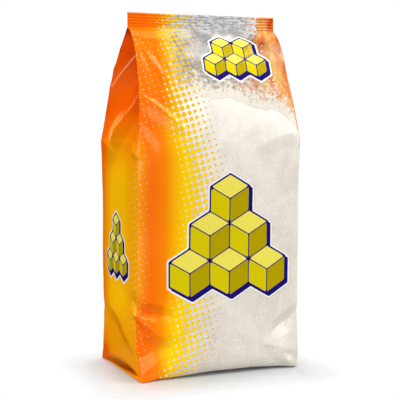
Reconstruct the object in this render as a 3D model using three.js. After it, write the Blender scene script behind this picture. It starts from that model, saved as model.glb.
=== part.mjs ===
// A one kilogram bag of sugar: a film bag with tucked side panels, filled with sugar,
// standing on its flat base and sealed flat along the top.
// Millimetres, +Z up, front panel towards -Y, origin at the centre of the base.
import * as THREE from "three";

// Driving dimensions.
const HEIGHT = 215; // table to the top of the seal
const SEAL_HEIGHT = 9; // flat welded band along the top
const SEAL_WIDTH = 97;
const SEAL_THICKNESS = 1.2; // four crimped layers of film
const FILLED_WIDTH = 105; // front and back panels, fold to fold, where the sugar fills them
const FILLED_DEPTH = 67.5; // side panels, fold to fold, at the shoulder
const SHOULDER_Z = 138; // above this the front and back panels close towards the seal
const WAIST_DEPTH = 64; // side panels, fold to fold, below the waist's top
const WAIST_TOP_Z = 80;
const BASE_WIDTH = 101.5;
const BASE_DEPTH = 71; // the weight of the sugar spreads the foot
const FOOT_HEIGHT = 22; // height over which the foot runs into the straight sides
const NARROWING_HEIGHT = 50; // height over which the panels narrow to the seal's width
const FOLD_REACH = 1.8; // half the stretch of film that each upright fold is rounded over

// The seal stands a little forward and to the right of the base.
const SEAL_OFFSET = { x: 1.2, y: -3 };
const OFFSET_START_Z = 170;

// Closing curve of the shoulder: the depth falls as (1 - t^CURVE_IN)^CURVE_OUT.
const CURVE_IN = 1.9;
const CURVE_OUT = 0.77;

// The sugar pushes the panels out between their folds, most at mid height.
const PANEL_BULGE = 3;
const SIDE_BULGE = 1.6;
const BULGE = { startZ: -14, fullZ: 40, fadeZ: 118, sideFadeZ: 110 };

// The side panels fold inwards as a V under the seal.
const TUCK_DEPTH = 15;
const TUCK_START_Z = 148;
const TUCK_FULL_Z = 194;

// At the foot each side panel turns under above a thin lip.
const GROOVE_DEPTH = 3.6;
const GROOVE_Z = 4;
const GROOVE_REACH = 4.5;

// Ridges across a side panel. start and end give the share of the panel's width from the
// rear fold on the left panel, or the front fold on the right one, and the height.
const SIDE_RIDGES = [
  { start: { share: 0, z: 138 }, end: { share: 1, z: 163 }, proud: 2.4, reach: 9 },
  { start: { share: 0, z: 170 }, end: { share: 0.4, z: 190 }, proud: 2, reach: 5 },
];
const RIDGE_FADE = 0.1; // share of the panel's width next to each fold where ridges fade out

// Fineness of the faceted skin.
const PANEL_COLUMNS = 24;
const SIDE_COLUMNS = 16;
const COLUMN_CROWDING = 0.55; // 0 spaces the columns evenly, 1 crowds them to the folds
const ROUNDING_STEPS = 3;
const FOOT_RINGS = [0, 0.7, 2, 4, 6.5, 10, 15]; // heights, close together round the groove
const BODY_RING_STEP = 9;
const SHOULDER_RING_STEP = 3.4;
const SEAL_STEP = 0.5; // height over which the tuck closes into the flat seal

const SEAL_FOOT_Z = HEIGHT - SEAL_HEIGHT;
const HALF_ROUND = FILLED_WIDTH + FILLED_DEPTH; // film of one panel and one side panel
const FILM_ROUND = 2 * HALF_ROUND;

const clamp01 = (x) => Math.min(1, Math.max(0, x));
const ease = (low, high, x) => THREE.MathUtils.smoothstep(x, low, high);
const arch = (share) => 1 - (2 * share - 1) ** 2; // 0 at both folds, 1 halfway
const tent = (distance, reach) => Math.max(0, 1 - distance / reach);
const foot = (z) => clamp01(1 - z / FOOT_HEIGHT) ** 2; // 1 at the table, 0 above the foot

// Distance between the left and right folds at a height.
function widthAt(z) {
  const narrowed = 1 - (1 - clamp01((z - SHOULDER_Z) / NARROWING_HEIGHT)) ** 2;
  return FILLED_WIDTH - (FILLED_WIDTH - BASE_WIDTH) * foot(z) - (FILLED_WIDTH - SEAL_WIDTH) * narrowed;
}

// Distance between the front and back folds at a height.
function depthAt(z) {
  const swell = (FILLED_DEPTH - WAIST_DEPTH) * ease(WAIST_TOP_Z, SHOULDER_Z, z);
  const filled = WAIST_DEPTH + swell + (BASE_DEPTH - WAIST_DEPTH) * foot(z);
  const closing = clamp01((z - SHOULDER_Z) / (SEAL_FOOT_Z - SHOULDER_Z));
  const open = (1 - closing ** CURVE_IN) ** CURVE_OUT;
  return SEAL_THICKNESS + (filled - SEAL_THICKNESS) * open;
}

// Where the middle of the bag lies at a height.
function centreAt(z) {
  const share = ease(OFFSET_START_Z, SEAL_FOOT_Z, z);
  return new THREE.Vector3(SEAL_OFFSET.x * share, SEAL_OFFSET.y * share, z);
}

// How strongly the sugar pushes a panel out at a height, from 0 to 1.
function fillAt(z) {
  return ease(BULGE.startZ, BULGE.fullZ, z) * (1 - ease(BULGE.fadeZ, SEAL_FOOT_Z, z));
}

// How far the diagonal ridges stand out at a place on a side panel.
function ridges(share, z) {
  let proud = 0;
  for (const ridge of SIDE_RIDGES) {
    const start = new THREE.Vector3(ridge.start.share * FILLED_DEPTH, ridge.start.z);
    const end = new THREE.Vector3(ridge.end.share * FILLED_DEPTH, ridge.end.z);
    const place = new THREE.Vector3(share * FILLED_DEPTH, z);
    const nearest = new THREE.Line3(start, end).closestPointToPoint(place, true, new THREE.Vector3());
    proud += ridge.proud * tent(place.distanceTo(nearest), ridge.reach);
  }
  return proud * ease(0, RIDGE_FADE, share) * ease(0, RIDGE_FADE, 1 - share);
}

// How far a side panel stands out from the line between its two folds.
function sidePush(share, z) {
  if (z > SEAL_FOOT_Z) return 0;
  const bulge = SIDE_BULGE * arch(share) * fillAt(z) * (1 - ease(BULGE.sideFadeZ, TUCK_START_Z, z));
  const tuck = TUCK_DEPTH * ease(TUCK_START_Z, TUCK_FULL_Z, z) * tent(Math.abs(share - 0.5), 0.5);
  const groove = GROOVE_DEPTH * arch(share) * tent(Math.abs(z - GROOVE_Z), GROOVE_REACH);
  return bulge + ridges(share, z) - tuck - groove;
}

// A point of the film with sharp folds. around is the distance round the tube from the left
// front fold, counterclockwise from above. The back and left panels are the front and right
// ones turned half round.
function sharpFilm(around, z) {
  const place = THREE.MathUtils.euclideanModulo(around, FILM_ROUND);
  const turn = place < HALF_ROUND ? 1 : -1;
  const along = place % HALF_ROUND;
  const point = new THREE.Vector3();
  if (along < FILLED_WIDTH) {
    const share = along / FILLED_WIDTH;
    point.x = (share - 0.5) * widthAt(z);
    point.y = -depthAt(z) / 2 - PANEL_BULGE * fillAt(z) * arch(share);
  } else {
    const share = (along - FILLED_WIDTH) / FILLED_DEPTH;
    point.x = widthAt(z) / 2 + sidePush(share, z);
    point.y = (share - 0.5) * depthAt(z);
  }
  return point.multiplyScalar(turn).add(centreAt(z));
}

// The film with its folds rounded, by a weighted average over a short stretch round the tube.
function film(around, z) {
  const sum = new THREE.Vector3();
  let weights = 0;
  for (let step = -ROUNDING_STEPS; step <= ROUNDING_STEPS; step++) {
    const weight = tent(Math.abs(step), ROUNDING_STEPS + 1);
    sum.addScaledVector(sharpFilm(around + (step / ROUNDING_STEPS) * FOLD_REACH, z), weight);
    weights += weight;
  }
  return sum.divideScalar(weights);
}

// Places round the film, closer together near the folds.
function columns() {
  const places = [];
  let start = 0;
  for (const side of [false, true, false, true]) {
    const span = side ? FILLED_DEPTH : FILLED_WIDTH;
    const count = side ? SIDE_COLUMNS : PANEL_COLUMNS;
    for (let i = 0; i < count; i++) {
      const even = i / count;
      const crowded = (1 - Math.cos(Math.PI * even)) / 2;
      places.push(start + span * THREE.MathUtils.lerp(even, crowded, COLUMN_CROWDING));
    }
    start += span;
  }
  return places;
}

// Heights of the rings of points, from the table to the top of the seal.
function rings() {
  const heights = [...FOOT_RINGS];
  for (const [top, step] of [[SHOULDER_Z, BODY_RING_STEP], [SEAL_FOOT_Z, SHOULDER_RING_STEP]]) {
    const from = heights.at(-1);
    const count = Math.round((top - from) / step);
    for (let i = 1; i <= count; i++) heights.push(THREE.MathUtils.lerp(from, top, i / count));
  }
  return [...heights, SEAL_FOOT_Z + SEAL_STEP, HEIGHT];
}

// The closed skin of the bag: rings of points joined by triangles, capped flat at both ends.
function bagGeometry() {
  const places = columns();
  const heights = rings();
  const count = places.length;
  const last = (heights.length - 1) * count;
  const points = heights.flatMap((z) => places.map((around) => film(around, z)));
  const bottom = points.push(centreAt(0)) - 1;
  const top = points.push(centreAt(HEIGHT)) - 1;
  const faces = [];
  for (let i = 0; i < count; i++) {
    const next = (i + 1) % count;
    faces.push(bottom, next, i);
    for (let ring = 0; ring < last; ring += count) {
      faces.push(ring + i, ring + next, ring + count + next);
      faces.push(ring + i, ring + count + next, ring + count + i);
    }
    faces.push(top, last + i, last + next);
  }
  const geometry = new THREE.BufferGeometry().setFromPoints(points);
  geometry.setIndex(faces);
  geometry.computeVertexNormals();
  return geometry;
}

const printedFilm = new THREE.MeshStandardMaterial({ color: 0xf2a03c, roughness: 0.25, metalness: 0 });
const bag = new THREE.Mesh(bagGeometry(), printedFilm);
bag.name = "bag";

const part = new THREE.Group();
part.add(bag);

export default part;
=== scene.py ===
# A one kilogram bag of sugar: printed clear film with tucked sides, and the sugar inside it.
import math

import bpy
import numpy as np
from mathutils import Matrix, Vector


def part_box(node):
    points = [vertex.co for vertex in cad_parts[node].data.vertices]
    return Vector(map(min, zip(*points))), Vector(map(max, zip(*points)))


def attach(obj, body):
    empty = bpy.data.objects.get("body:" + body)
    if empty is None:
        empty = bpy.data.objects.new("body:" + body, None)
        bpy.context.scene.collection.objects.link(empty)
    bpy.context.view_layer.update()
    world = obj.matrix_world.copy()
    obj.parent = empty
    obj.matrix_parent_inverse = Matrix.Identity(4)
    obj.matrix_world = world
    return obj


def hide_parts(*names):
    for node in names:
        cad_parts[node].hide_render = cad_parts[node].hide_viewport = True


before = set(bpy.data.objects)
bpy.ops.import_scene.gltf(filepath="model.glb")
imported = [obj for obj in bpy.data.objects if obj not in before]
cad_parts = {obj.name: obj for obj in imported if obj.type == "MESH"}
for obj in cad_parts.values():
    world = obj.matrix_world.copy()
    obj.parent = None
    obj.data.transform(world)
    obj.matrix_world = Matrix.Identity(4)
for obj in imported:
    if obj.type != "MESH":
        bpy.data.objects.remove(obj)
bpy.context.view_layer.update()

# Sizes in millimetres, as in the part's source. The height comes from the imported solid.
MM = 0.001
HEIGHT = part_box("bag")[1].z / MM
SEAL_HEIGHT = 9
SEAL_WIDTH = 97
SEAL_THICKNESS = 0.6
FILLED_WIDTH = 105
FILLED_DEPTH = 67.5
SHOULDER_Z = 138
WAIST_DEPTH = 64
WAIST_TOP_Z = 80
BASE_WIDTH = 101.5
BASE_DEPTH = 71
FOOT_HEIGHT = 22
NARROWING_HEIGHT = 50
FOLD_REACH = 1.8
NORMAL_REACH = 7
ROUNDING_STEPS = 3
SEAL_OFFSET_X = 1.2
SEAL_OFFSET_Y = -3
OFFSET_START_Z = 170
CURVE_IN = 1.9
CURVE_OUT = 0.77
PANEL_BULGE = 3
SIDE_BULGE = 1.6
BULGE_START_Z = (-14, 40)
BULGE_FADE_Z = 118
SIDE_BULGE_FADE_Z = 110
TUCK_DEPTH = 15
TUCK_START_Z = 142
TUCK_FULL_Z = 198
SEAL_TUCK = 12
# At the foot the front and back panels curve in under the sugar and stand a little off the table
# between their folds, and each side panel turns under below an arched line. A lip lies along the table
# under that line, taller towards the panel's right fold. A share is one of the panel's width.
UNDER_DEPTH = 5
UNDER_HEIGHT = 8
UNDER_CORNER = 14
BASE_HOLLOW = 0.5
BASE_FLATNESS = 4
EDGE_LIFT = 1.5
LIFT_START = (18, 50)
LIFT_END = (70, 103)
TURN_DEPTH = 5.5
TURN_LEAST = 1.4
TURN_SHARES = (0.4, 0.8)
TURN_LOW_Z = 1.5
TURN_HIGH_Z = 8.4
TURN_ROUNDNESS = 0.75
LIP_HEIGHT = 2.4
LIP_LEAST = 0.25
LIP_SHARES = (0.55, 1)
LIP_FLAT = 0.4
LIP_STEP = 0.2

SEAL_FOOT_Z = HEIGHT - SEAL_HEIGHT
HALF_ROUND = FILLED_WIDTH + FILLED_DEPTH
FILM_ROUND = 2 * HALF_ROUND

# Fineness of the film's grid.
PANEL_COLUMNS = 104
SIDE_COLUMNS = 68
COLUMN_CROWDING = 0.35
BASE_ROWS = 10
FOOT_ROWS = 34
FOOT_CROWDING = 1.4
BODY_ROWS = 80
FINE_ROWS_Z = SHOULDER_Z - 18
SHOULDER_ROWS = 100
SEAL_ROWS = 34

# The crimped seal: ribs along it and a cut edge of small teeth.
RIB_PITCH = 1.7
RIB_HEIGHT = 0.22
RIB_START = 0.8
# Painted shade: how much darker the ink is on the ribs.
RIB_SHADE = 0.13
TOOTH_HEIGHT = 0.45
TOOTH_REACH = 1.2

# Folds in the film. Each is a path of places. A place is the distance round the film from the left
# front fold, negative on the left side panel, the height above the table, how far the fold stands
# out there, and how far it reaches to the left and to the right of its path, as seen going along it.
LEDGE = (
    (-65.5, 138.6, 0.3, 8, 9), (-47, 136, 1.3, 12, 14), (-36, 145.6, 3.0, 12, 12),
    (-22, 153.5, 2.7, 11, 11), (-8, 160.2, 1.4, 8, 9),
)
SPIKE = ((-61.7, 138.7, 0.2, 3, 8), (-42.3, 134.2, 0.9, 3, 9))
CREASE = (
    (-66.8, 172.9, 0.2, 2, 2.5), (-62.7, 172.2, 0.5, 1.9, 2.5), (-58, 178.6, 0.75, 1.9, 2.5),
    (-48.7, 188, 0.8, 1.9, 2.5), (-40, 196, 0.6, 1.9, 2.5),
)
LOW_CREASE = ((-66.5, 171.5, 0.1, 3, 5), (-57, 172.5, 0.2, 4, 6), (-42.5, 178.9, 0.2, 4, 6))
SLANT = (
    (-56, 38.8, 0.2, 16, 6), (-46, 37.4, 0.8, 18, 8), (-33, 35.6, 1.4, 18, 9), (-24, 32.3, 1.9, 18, 9),
    (-13.6, 24.6, 2.0, 16, 9), (-7.8, 20.8, 1.6, 12, 8), (-4, 14, 0.5, 6, 6),
)
HIGH_PINCH = ((-9.4, 134.6, 0.0, 2, 3), (-4, 132.6, 0.9, 5, 3.5), (-1, 131, 0.9, 4, 3))
LOW_PINCH = ((-5.5, 41.2, 0.0, 2, 3), (-0.4, 38.8, 1.3, 4, 3))
FRONT_CREST = (
    (0.6, 166.2, 0.9, 2.6, 6), (13, 157.6, 1.6, 3.2, 8), (25.6, 148.6, 1.0, 2.6, 6), (30, 145, 0.2, 2, 4),
)
FIRST_FAN = ((0.6, 197.5, 0.4, 2, 2), (3, 184.6, 1.0, 5, 2), (6, 168.5, 0.9, 5, 3))
SECOND_FAN = ((2.5, 197.5, 0.4, 2, 2), (9.3, 186.5, 1.0, 3.5, 3), (18, 174.5, 0.6, 3.5, 3))
UNDER_SEAL = ((0.4, 200.9, 0.9, 1.6, 1.8), (11.9, 199, 0.9, 1.6, 1.8), (25.6, 199.2, 0.4, 1.6, 1.8))
NOTCH = ((0.4, 146, -0.5, 4, 7), (4, 142.5, -0.8, 4, 7), (8.5, 138, -0.5, 4, 7), (12, 134.5, -0.1, 4, 4))
FOOT_HOLLOW = (
    (0.5, 41, -0.6, 4, 2), (5.5, 39.6, -3.2, 6, 3.5), (11.4, 38.4, -3.2, 6, 4), (17, 37, -0.6, 5, 4),
)
FOOT_CREST = (
    (-4, 41, 0.1, 2, 3), (0.2, 38, 0.7, 4, 3), (6.4, 32, 1.6, 7, 4), (13, 26.1, 2.4, 11, 6),
    (18.8, 27, 1.5, 9, 8), (25.5, 31, 0.2, 6, 6),
)
LOW_CREST = (
    (1, 2.5, 0.4, 7, 3), (3.8, 5.5, 0.9, 8, 3), (11.1, 10.6, 1.5, 7, 4),
    (16.4, 13.9, 1.1, 5, 4), (21, 16.5, 0.1, 3, 4),
)
FOOT_VALLEY = ((103.8, 34.7, -1.0, 5, 5), (96, 28, -2.6, 6, 6), (86, 22, -0.5, 5, 5))
FOOT_SHINE = ((84, 18, 0.4, 8, 7), (92, 12.5, 2.2, 14, 8), (104, 10, 0.8, 14, 8))
CORNER_CREST = ((104.1, 0.5, 0.4, 3, 3), (98.3, 4, 1.8, 4, 4), (92, 8, 0.3, 4, 4))
SHOULDER_FOLD = ((80, 138, 0.4, 5, 8), (98, 144, 0.9, 5, 8), (104, 146, 0.1, 5, 8))
FOLDS = (
    LEDGE, SPIKE, CREASE, LOW_CREASE, SLANT, HIGH_PINCH, LOW_PINCH,
    FRONT_CREST, FIRST_FAN, SECOND_FAN, UNDER_SEAL, NOTCH, FOOT_HOLLOW, FOOT_CREST, LOW_CREST,
    FOOT_VALLEY, FOOT_SHINE, CORNER_CREST, SHOULDER_FOLD,
)
# The back and right panels have the same folds turned half round, a little softer.
FAR_FOLDS = 0.8

# Shallow hollows and swellings: place, depth outwards, and half widths round and up.
DENTS = (
    ((-4, 139), -0.6, 4, 3),
    ((-3, 46), -1.4, 4, 3),
    ((-66.5, 0), 1.8, 5, 6),
)

# Small creases in the slack film under the seal: how many, how far under it they start at least, how
# much lower at most, how they crowd towards it, their lengths, their spread of headings and heights,
# their reach, and the share of the height that is left at the far end and on the sides.
SMALL_CREASES = 80
SMALL_START = 3
SMALL_DROP = 32
SMALL_CROWDING = 0.8
SMALL_LENGTHS = (5, 14)
SMALL_TURN = 0.6
SMALL_HEIGHT = 0.4
SMALL_REACH = 2.2
SMALL_END = 0.3
SMALL_ON_SIDE = 0.3

# Low waves all over the film: waves round the bag, the most they slant in radians per millimetre of
# height, and how far they stand out.
WAVE_TURNS = (2, 3, 5, 7, 9)
WAVE_SLANT = 0.12
WAVE_HEIGHT = 0.35
# Heights over which the waves and the folds rise from the table, and over which all end at the seal.
WAVE_START_Z = (0, 14)
FOLD_START_Z = (-1, 3)
RELIEF_END_Z = (SEAL_FOOT_Z - 4, SEAL_FOOT_Z)
RELIEF_SEED = 5


def ease(low, high, x):
    """0 below low, 1 above high, and the smooth cubic 3t^2 - 2t^3 between."""
    t = np.clip((x - low) / (high - low), 0, 1)
    return t * t * (3 - 2 * t)


def band(start, end, x):
    """0 before the stretch start, 1 from there to the stretch end and 0 past it, with smooth steps."""
    return ease(*start, x) * (1 - ease(*end, x))


def arch(share):
    """A parabola that is 0 at both folds of a panel and 1 halfway."""
    return 1 - (2 * share - 1) ** 2


def foot(z):
    """1 at the table, falling as a square to 0 at the top of the foot."""
    return np.clip(1 - z / FOOT_HEIGHT, 0, 1) ** 2


def width_at(z):
    """Distance between the left and right folds at a height."""
    narrowed = 1 - (1 - np.clip((z - SHOULDER_Z) / NARROWING_HEIGHT, 0, 1)) ** 2
    width = FILLED_WIDTH - (FILLED_WIDTH - BASE_WIDTH) * foot(z)
    return width - (FILLED_WIDTH - SEAL_WIDTH) * narrowed


def depth_at(z):
    """Distance between the front and back folds, closing as (1 - t^in)^out above the shoulder."""
    widened = (FILLED_DEPTH - WAIST_DEPTH) * ease(WAIST_TOP_Z, SHOULDER_Z, z)
    filled = WAIST_DEPTH + widened + (BASE_DEPTH - WAIST_DEPTH) * foot(z)
    closing = np.clip((z - SHOULDER_Z) / (SEAL_FOOT_Z - SHOULDER_Z), 0, 1)
    return SEAL_THICKNESS + (filled - SEAL_THICKNESS) * (1 - closing**CURVE_IN) ** CURVE_OUT


def fill_at(z):
    """How strongly the sugar pushes a panel out at a height, from 0 to 1."""
    return band(BULGE_START_Z, (BULGE_FADE_Z, SEAL_FOOT_Z), z)


def tuck_at(z):
    """How far the middle of a side panel folds in: none below the shoulder, less again at the seal."""
    full = TUCK_DEPTH * ease(TUCK_START_Z, TUCK_FULL_Z, z)
    return full - (TUCK_DEPTH - SEAL_TUCK) * ease(TUCK_FULL_Z, SEAL_FOOT_Z, z)


def curved_under(along, z):
    """How far the foot of a front or back panel curves in: a quarter of an ellipse, none at the folds."""
    corner = ease(0, UNDER_CORNER, np.minimum(along, FILLED_WIDTH - along))
    down = np.clip(1 - z / UNDER_HEIGHT, 0, 1)
    return UNDER_DEPTH * corner * (1 - np.sqrt(1 - down**2))


def lifted(around, z):
    """How far the foot of a front or back panel stands off the table: a smooth step up between its folds."""
    along = np.mod(around, HALF_ROUND)
    return EDGE_LIFT * band(LIFT_START, LIFT_END, along) * foot(z)


def turn_line(share):
    """Height of the arched line below which a side panel turns under, and how far it has risen, 0 to 1."""
    bow = np.clip(arch(share), 0, 1) ** TURN_ROUNDNESS
    return TURN_LOW_Z + (TURN_HIGH_Z - TURN_LOW_Z) * bow, bow


def over_lip(share, z):
    """0 on the lip along the table, thin at a side panel's left fold and taller at its right, 1 over it."""
    top = LIP_LEAST + LIP_HEIGHT * ease(*LIP_SHARES, share)
    return ease(LIP_FLAT * top, top + LIP_STEP, z)


def turned_under(share, z):
    """How far a side panel steps in at its foot: over the lip, then out evenly to the arched line."""
    line, bow = turn_line(share)
    depth = TURN_LEAST + (TURN_DEPTH - TURN_LEAST) * ease(*TURN_SHARES, share)
    return depth * bow * over_lip(share, z) * np.clip(1 - z / line, 0, 1)


def half_turn(around):
    """1 on the front and right panels, -1 on the back and left ones, and the place along those two."""
    place = np.mod(around, FILM_ROUND)
    return np.where(place < HALF_ROUND, 1.0, -1.0), np.mod(place, HALF_ROUND)


def sharp_film(around, z):
    """The bag's film with sharp folds: a front panel with a parabolic bulge, a side panel with a
    V tuck and a turned foot, and the same two turned half round for the back and left."""
    turn, along = half_turn(around)
    width, depth, fill = width_at(z), depth_at(z), fill_at(z)
    across = along / FILLED_WIDTH
    share = (along - FILLED_WIDTH) / FILLED_DEPTH
    bulge = SIDE_BULGE * arch(share) * fill * (1 - ease(SIDE_BULGE_FADE_Z, TUCK_START_Z, z))
    tuck = tuck_at(z) * (1 - np.abs(2 * share - 1))
    panel_y = curved_under(along, z) - depth / 2 - PANEL_BULGE * fill * arch(across)
    side = along >= FILLED_WIDTH
    x = np.where(side, width / 2 + bulge - tuck - turned_under(share, z), (across - 0.5) * width)
    y = np.where(side, (share - 0.5) * depth, panel_y)
    offset = ease(OFFSET_START_Z, SEAL_FOOT_Z, z)
    return np.stack([turn * x + SEAL_OFFSET_X * offset, turn * y + SEAL_OFFSET_Y * offset, z + 0 * x], -1)


def panel_normal(around):
    """The level outward direction of the panel at a place round the film."""
    turn, along = half_turn(around)
    side = along >= FILLED_WIDTH
    return np.stack([turn * side, -turn * ~side, 0 * turn], -1)


def averaged(function, around, reach, *rest):
    """The function averaged round the film with weights that fall evenly to 0 past the reach."""
    steps = np.arange(-ROUNDING_STEPS, ROUNDING_STEPS + 1)
    weights = 1 - np.abs(steps) / (ROUNDING_STEPS + 1)
    values = [function(around + step / ROUNDING_STEPS * reach, *rest) for step in steps]
    return sum(weight * value for weight, value in zip(weights, values)) / weights.sum()


def round_gap(around, place):
    """Signed distance round the film from a place, the short way."""
    return np.mod(around - place + HALF_ROUND, FILM_ROUND) - HALF_ROUND


def fold(around, z, path):
    """A crest along a path that falls evenly to 0 over its reach on either side, all read along the path."""
    push = 0 * z
    for first, last in zip(path, path[1:]):
        run, rise = last[0] - first[0], last[1] - first[1]
        gap_round, gap_up = round_gap(around, first[0]), z - first[1]
        share = np.clip((gap_round * run + gap_up * rise) / (run**2 + rise**2), 0, 1)
        off = np.hypot(gap_round - share * run, gap_up - share * rise)
        height, left, right = (start + (end - start) * share for start, end in zip(first[2:], last[2:]))
        reach = np.where(run * gap_up > rise * gap_round, left, right)
        height = height * np.clip(1 - off / reach, 0, 1)
        push = np.where(np.abs(height) > np.abs(push), height, push)
    return push


def dent(around, z, place, height, half_round, half_up):
    """A bell of that height centred on a place."""
    off = (round_gap(around, place[0]) / half_round) ** 2 + ((z - place[1]) / half_up) ** 2
    return height * np.exp(-off)


def small_creases(generator):
    """Paths of small creases at random places under the seal, most of them steep, lower on the sides."""
    around = generator.uniform(0, FILM_ROUND, SMALL_CREASES)
    up = SEAL_FOOT_Z - SMALL_START - SMALL_DROP * generator.power(SMALL_CROWDING, SMALL_CREASES)
    length = generator.uniform(*SMALL_LENGTHS, SMALL_CREASES)
    heading = generator.normal(-math.pi / 2, SMALL_TURN, SMALL_CREASES)
    on_side = np.mod(around, HALF_ROUND) > FILLED_WIDTH
    height = generator.normal(0, SMALL_HEIGHT, SMALL_CREASES) * np.where(on_side, SMALL_ON_SIDE, 1)
    reach = np.full((SMALL_CREASES, 2), SMALL_REACH)
    far_around, far_up = around + length * np.cos(heading), up + length * np.sin(heading)
    starts = np.column_stack([around, up, height, reach])
    ends = np.column_stack([far_around, far_up, SMALL_END * height, reach])
    return zip(starts, ends)


def waves(around, z, generator):
    """Low smooth waves all over the film: a sum of slanted sines that close round the bag."""
    total = 0 * z
    for turns in WAVE_TURNS:
        rise = generator.uniform(-WAVE_SLANT, WAVE_SLANT)
        phase = generator.uniform(0, 2 * math.pi)
        total = total + np.sin(turns * 2 * math.pi * around / FILM_ROUND + rise * z + phase) / turns
    return WAVE_HEIGHT * total


def relief(around, z):
    """How far the waves, small creases, folds and hollows push the film out, none at the seal."""
    generator = np.random.default_rng(RELIEF_SEED)
    push = waves(around, z, generator)
    for path in small_creases(generator):
        push = push + fold(around, z, path)
    push = push * ease(*WAVE_START_Z, z)
    for path in FOLDS:
        push = push + fold(around, z, path) + FAR_FOLDS * fold(around - HALF_ROUND, z, path)
    push = push * ease(*FOLD_START_Z, z)
    for values in DENTS:
        push = push + dent(around, z, *values)
    return push * (1 - ease(*RELIEF_END_Z, z))


def film_points(around, z):
    """The film: rounded folds, pushed out along the level normals by the relief, and lifted at the foot."""
    normal = averaged(panel_normal, around, NORMAL_REACH)
    normal = normal / np.linalg.norm(normal, axis=-1, keepdims=True)
    points = averaged(sharp_film, around, FOLD_REACH, z) + relief(around, z)[..., None] * normal
    points[..., 2] += lifted(around, z)
    return points


def columns():
    """Places round the film, closer together near the folds, and the start again at the end."""
    places = []
    start = 0
    for count, span in ((PANEL_COLUMNS, FILLED_WIDTH), (SIDE_COLUMNS, FILLED_DEPTH)) * 2:
        even = np.arange(count) / count
        crowded = (1 - np.cos(math.pi * even)) / 2
        places.append(start + span * (even + COLUMN_CROWDING * (crowded - even)))
        start += span
    return np.append(np.concatenate(places), FILM_ROUND)


def body_rows():
    """Heights of the film's rows from the table to the top of the seal."""
    stops = (0, FOOT_HEIGHT, FINE_ROWS_Z, SEAL_FOOT_Z, HEIGHT)
    counts = (FOOT_ROWS, BODY_ROWS, SHOULDER_ROWS, SEAL_ROWS)
    spans = zip(stops, stops[1:], counts)
    parts = [np.linspace(low, high, count, endpoint=False) for low, high, count in spans]
    parts[0] = FOOT_HEIGHT * (parts[0] / FOOT_HEIGHT) ** FOOT_CROWDING
    return np.append(np.concatenate(parts), HEIGHT)


def length_up(z):
    """Length along the film from the table, measured up the middle of the front panel."""
    steps = np.hypot(np.diff(z), np.diff(depth_at(z) / 2))
    return np.append(0, np.cumsum(steps))


def rib(z):
    """A sine up the seal that is 0 in the ribs' valleys and 1 on their crests, and 0 below the seal."""
    wave = 0.5 + 0.5 * np.sin(2 * math.pi * (z - SEAL_FOOT_Z) / RIB_PITCH)
    return wave * ease(SEAL_FOOT_Z, SEAL_FOOT_Z + RIB_START, z)


def crimp(points, z):
    """Ribs along the seal, and teeth along its cut edge made by lowering every other column."""
    points[..., 1] += 2 * RIB_HEIGHT * rib(z)
    tooth = np.arange(points.shape[1]) % 2 * TOOTH_HEIGHT
    points[..., 2] -= tooth * ease(HEIGHT - TOOTH_REACH, HEIGHT, z)
    return points


def grid_faces(rows, count):
    """Quads of a grid that closes round: corner numbers, and the same with the last column kept apart."""
    row = np.arange(rows - 1)[:, None]
    column = np.arange(count)[None, :]
    corners = [(row, column), (row, column + 1), (row + 1, column + 1), (row + 1, column)]
    closed = np.stack([r * count + c % count for r, c in corners], -1).reshape(-1, 4)
    apart = np.stack([r * (count + 1) + c for r, c in corners], -1).reshape(-1, 4)
    return closed, apart


def fan(pole, first, count, upward):
    """Triangles from a pole to a ring of points that starts at a number, facing up or down."""
    ring = np.arange(count)
    here, following = first + ring, first + (ring + 1) % count
    corners = (here, following) if upward else (following, here)
    return np.stack([np.full(count, pole), *corners], -1)


def new_mesh(name, points, polygons):
    """A mesh object at the origin from points in millimetres and arrays of quads or triangles."""
    mesh = bpy.data.meshes.new(name)
    mesh.vertices.add(len(points))
    mesh.vertices.foreach_set("co", (points * MM).astype(np.float32).ravel())
    loops = np.concatenate([faces.ravel() for faces in polygons])
    totals = np.concatenate([np.full(len(faces), faces.shape[1]) for faces in polygons])
    mesh.loops.add(len(loops))
    mesh.loops.foreach_set("vertex_index", loops.astype(np.int32))
    mesh.polygons.add(len(totals))
    mesh.polygons.foreach_set("loop_start", (np.cumsum(totals) - totals).astype(np.int32))
    mesh.polygons.foreach_set("loop_total", totals.astype(np.int32))
    mesh.polygons.foreach_set("use_smooth", np.ones(len(totals), bool))
    mesh.update(calc_edges=True)
    piece = bpy.data.objects.new(name, mesh)
    bpy.context.scene.collection.objects.link(piece)
    return piece


def add_values(piece, name, values):
    """Stores a number or a colour for each point of a piece."""
    if values.ndim == 1:
        layer = piece.data.attributes.new(name, "FLOAT", "POINT")
        layer.data.foreach_set("value", values.astype(np.float32))
    else:
        layer = piece.data.attributes.new(name, "FLOAT_COLOR", "POINT")
        colours = np.concatenate([values, np.ones((len(values), 1))], -1)
        layer.data.foreach_set("color", colours.astype(np.float32).ravel())


# The print: an orange field down the left of each panel that breaks up into dots towards the right.
def ink(red, green, blue):
    """An ink colour given in 0 to 255 screen values, as linear light."""
    value = np.array([red, green, blue]) / 255
    return np.where(value <= 0.04045, value / 12.92, ((value + 0.055) / 1.055) ** 2.4)


YELLOW_INK = ink(255, 210, 10)
GOLD_INK = ink(255, 182, 4)
ORANGE_INK = ink(255, 136, 6)
DEEP_INK = ink(255, 112, 8)
# Painted highlight: the lighter ink along the rounded left fold.
FOLD_HIGHLIGHT_INK = ink(255, 160, 20)
TOP_INK = ink(255, 122, 6)
SIDE_TOP_INK = ink(244, 98, 2)
SIDE_INK = ink(255, 192, 8)
# Painted shade: the darker ink of the tuck under the seal.
TUCK_SHADE_INK = ink(213, 72, 2)
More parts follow.
